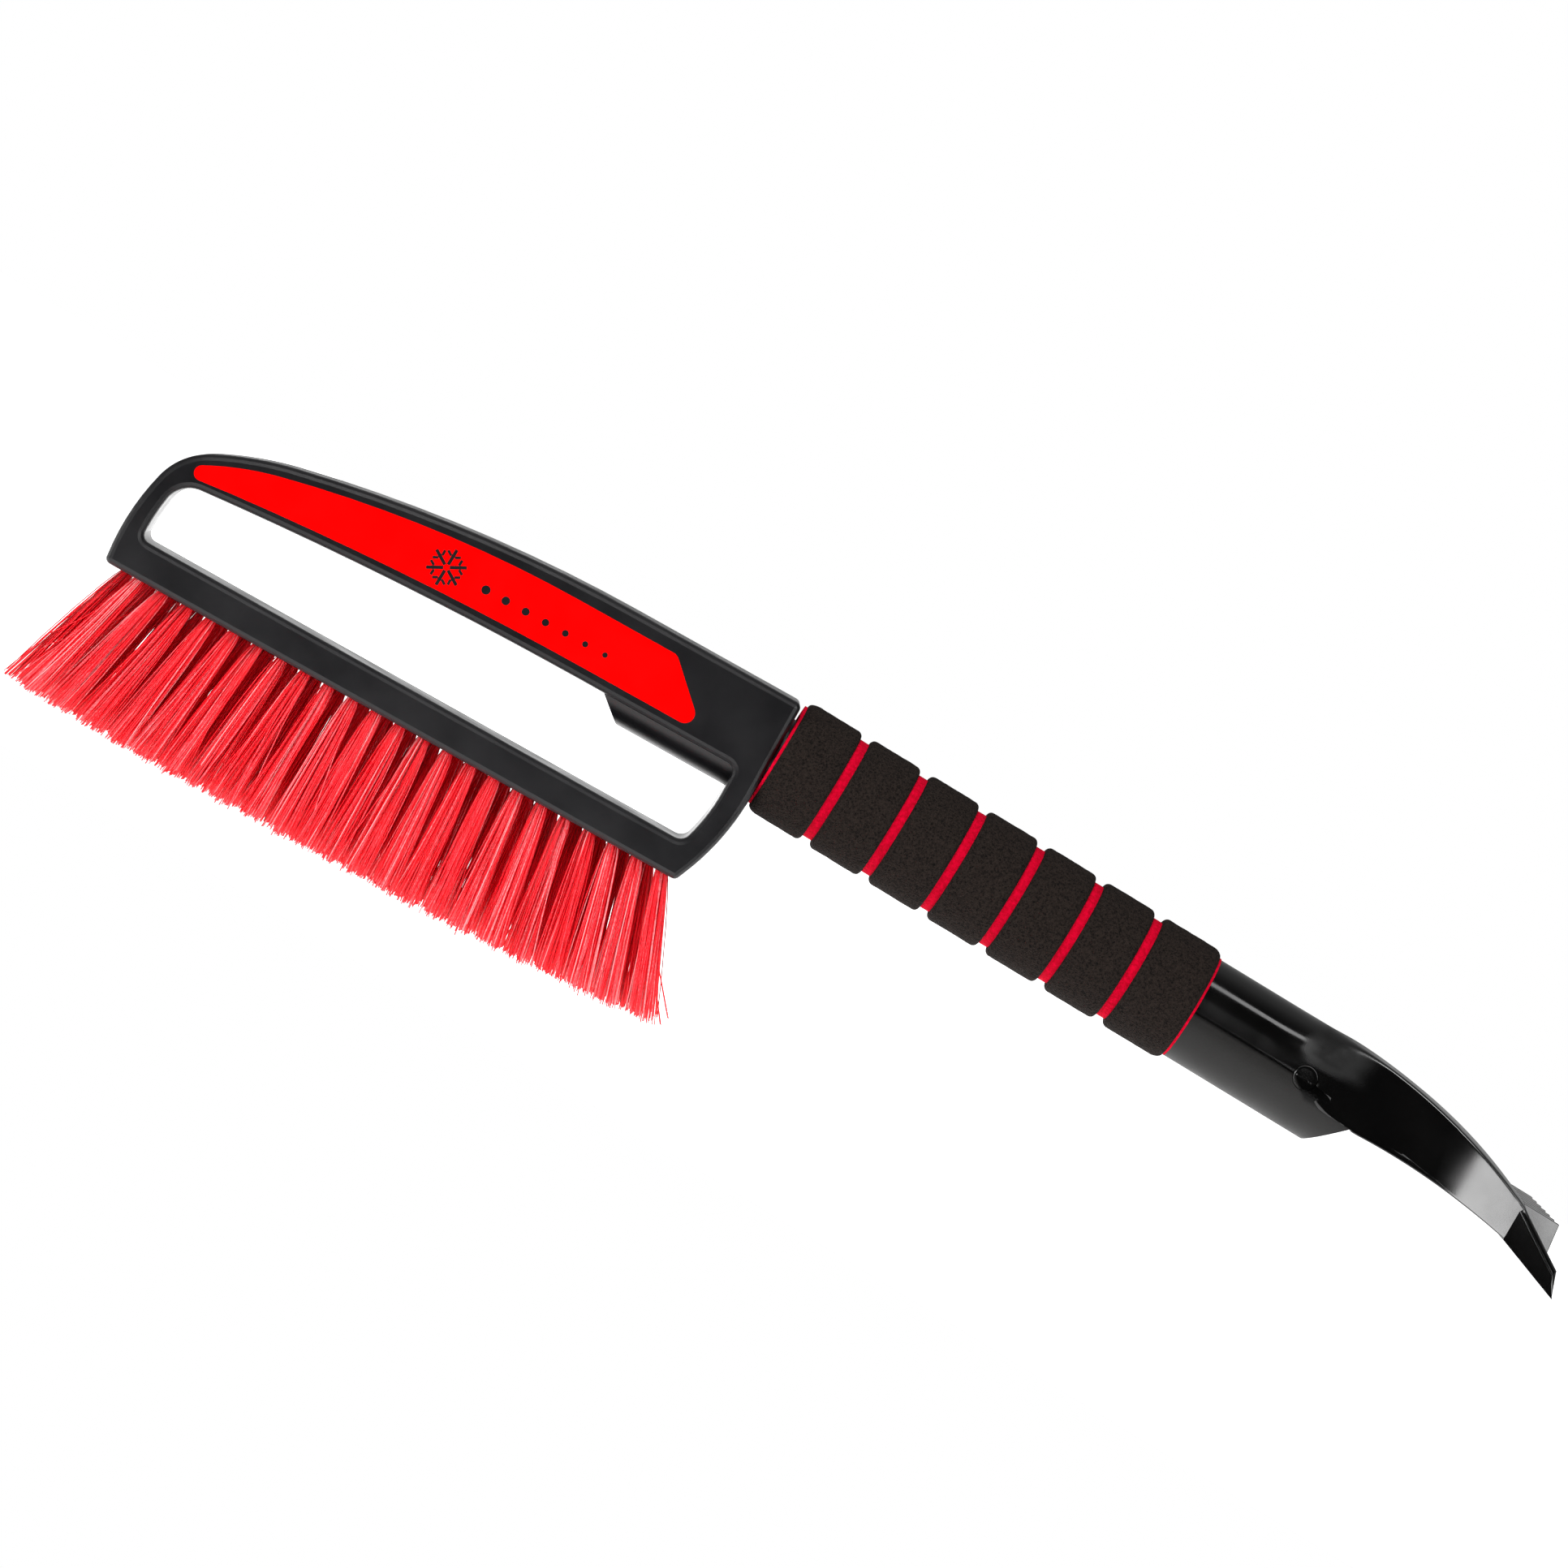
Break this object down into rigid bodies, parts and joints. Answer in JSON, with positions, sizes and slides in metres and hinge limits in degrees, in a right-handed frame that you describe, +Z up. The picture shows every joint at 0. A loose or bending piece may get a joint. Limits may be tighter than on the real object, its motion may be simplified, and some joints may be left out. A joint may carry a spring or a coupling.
{
  "type": "windshield snow brush with ice scraper",
  "caption": "Hand-held windshield snow brush: open-window brush head, ribbed foam grip and a flared ice scraper blade with ice-breaker fins.",
  "frame": {"origin": "bottom centre of the whole part's box: lowest point of the bristle tips, middle of the length and of the width", "axes": "+X along the grip from the brush head to the scraper, +Z up out of the back of the brush (the bristles point to -Z), +Y across; the XZ plane is the mirror plane"},
  "size_m": [0.5184, 0.105, 0.1269],
  "materials": {
    "head_black": "satin black moulded plastic with a fine grain",
    "scraper_black": "semi-gloss black moulded plastic",
    "label_red": "smooth pure red label plate",
    "bristle_red": "slightly translucent red filament",
    "anchor_wire": "drawn wire",
    "tube_black": "drawn tube, anodised black",
    "foam_red": "dense red foam",
    "foam_black": "closed-cell black foam with fine pores"
  },
  "bodies": {
    "root": {"head_frame": "head_black", "label_front": "label_red", "label_rear": "label_red", "bristles_front": "bristle_red", "bristles_middle": "bristle_red", "bristles_rear": "bristle_red", "anchors_front": "anchor_wire", "anchors_middle": "anchor_wire", "anchors_rear": "anchor_wire", "handle_tube": "tube_black", "grip_core": "foam_red", "foam_ring_1": "foam_black", "foam_ring_2": "foam_black", "foam_ring_3": "foam_black", "foam_ring_4": "foam_black", "foam_ring_5": "foam_black", "foam_ring_6": "foam_black", "foam_ring_7": "foam_black", "scraper_body": "scraper_black", "scraper_pin": "scraper_black"}
  },
  "joints": []
}
